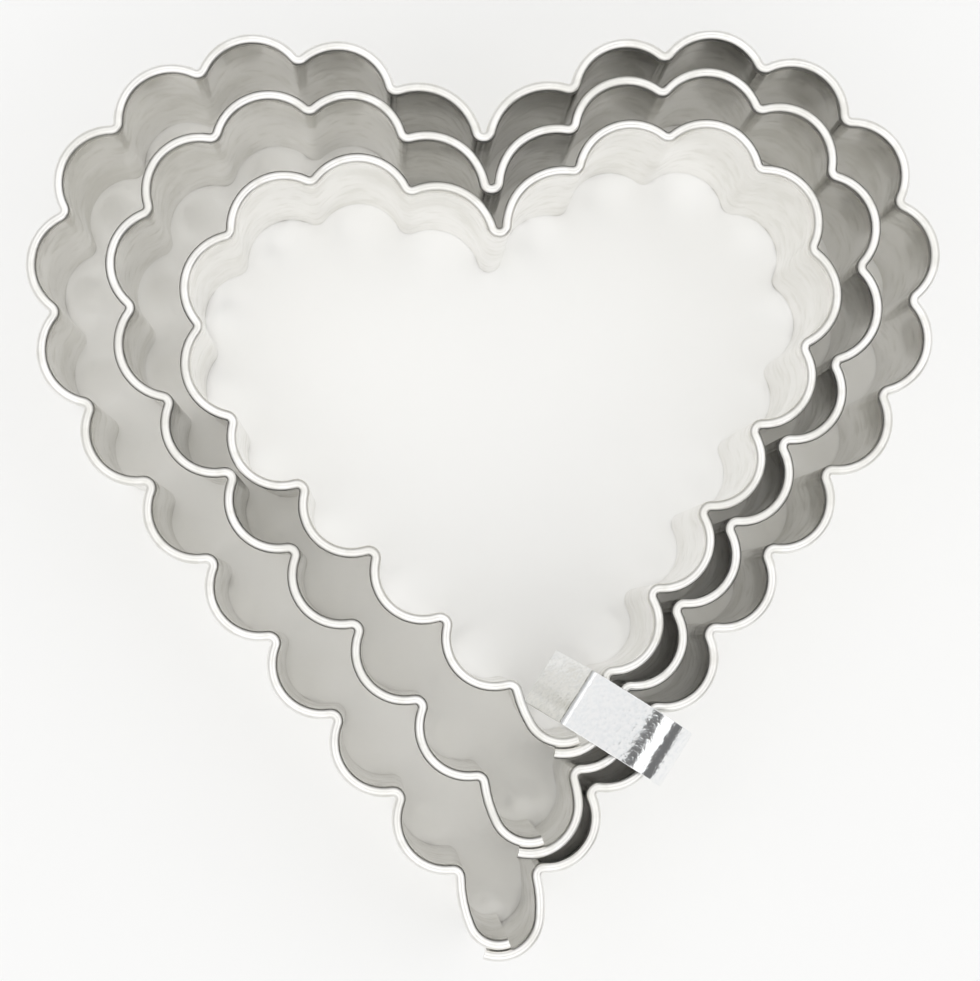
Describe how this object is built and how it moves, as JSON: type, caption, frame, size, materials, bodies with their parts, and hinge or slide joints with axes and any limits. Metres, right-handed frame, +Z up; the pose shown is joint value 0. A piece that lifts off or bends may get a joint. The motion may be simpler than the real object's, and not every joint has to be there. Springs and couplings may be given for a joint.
{
  "type": "nested cookie cutter set",
  "caption": "Nested scalloped heart cookie cutters of thin tinplate strip with hemmed rims and lapped tip seams, held together by a bent sheet-metal clip.",
  "frame": {"origin": "on the floor under the middle of the large cutter's box", "axes": "+Z up from the cutting edges to the rims, heart tips towards -Y, lobes towards +Y"},
  "size_m": [0.0894, 0.0904, 0.0264],
  "materials": {
    "tinplate": "bright tinplate, faintly smudged",
    "solder": "dull tin solder",
    "clip_sheet": "bright sheet with a mottled zinc spangle"
  },
  "bodies": {
    "large_cutter": {"large_band": "tinplate", "large_seam_solder": "solder"},
    "medium_cutter": {"medium_band": "tinplate", "medium_seam_solder": "solder"},
    "small_cutter": {"small_band": "tinplate", "small_seam_solder": "solder"},
    "clip": {"retaining_clip": "clip_sheet"}
  },
  "joints": [
    {"name": "medium_lift", "type": "slide", "parent": "large_cutter", "child": "medium_cutter", "axis": [0, 0, 1], "range_m": [0, 0.04]},
    {"name": "small_lift", "type": "slide", "parent": "medium_cutter", "child": "small_cutter", "axis": [0, 0, 1], "range_m": [0, 0.04]},
    {"name": "clip_pull", "type": "slide", "parent": "small_cutter", "child": "clip", "axis": [0, 0, 1], "range_m": [0, 0.03]}
  ]
}
